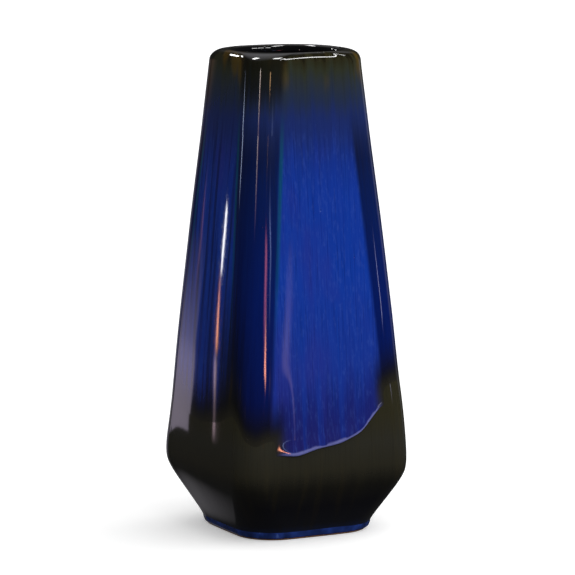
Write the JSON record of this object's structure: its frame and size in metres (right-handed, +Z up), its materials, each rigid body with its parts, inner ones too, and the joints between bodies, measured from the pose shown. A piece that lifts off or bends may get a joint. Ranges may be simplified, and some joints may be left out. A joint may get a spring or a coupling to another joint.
{
  "type": "vase",
  "caption": "Tall square stoneware vase with soft corners, a low shoulder, a narrower rim and a square foot ring, under layered dark and cobalt glazes.",
  "frame": {"origin": "middle of the foot ring's underside, on the surface that the vase stands on", "axes": "+Z up through the mouth, X and Y square to the four faces"},
  "size_m": [0.0982, 0.0996, 0.24],
  "materials": {
    "stoneware": "bare fired stoneware, matt reddish brown",
    "olive_glaze": "glossy olive-black iron glaze",
    "cobalt_glaze": "glossy streaked cobalt blue glaze",
    "liner_glaze": "glossy dark brown-black liner glaze",
    "pooled_glaze": "glossy pooled blue glaze"
  },
  "bodies": {
    "root": {"clay_body": "stoneware", "foot_ring": "stoneware", "base_glaze": "olive_glaze", "cobalt_glaze": "cobalt_glaze", "liner_glaze": "liner_glaze", "foot_glaze_bead": "pooled_glaze"}
  },
  "joints": []
}
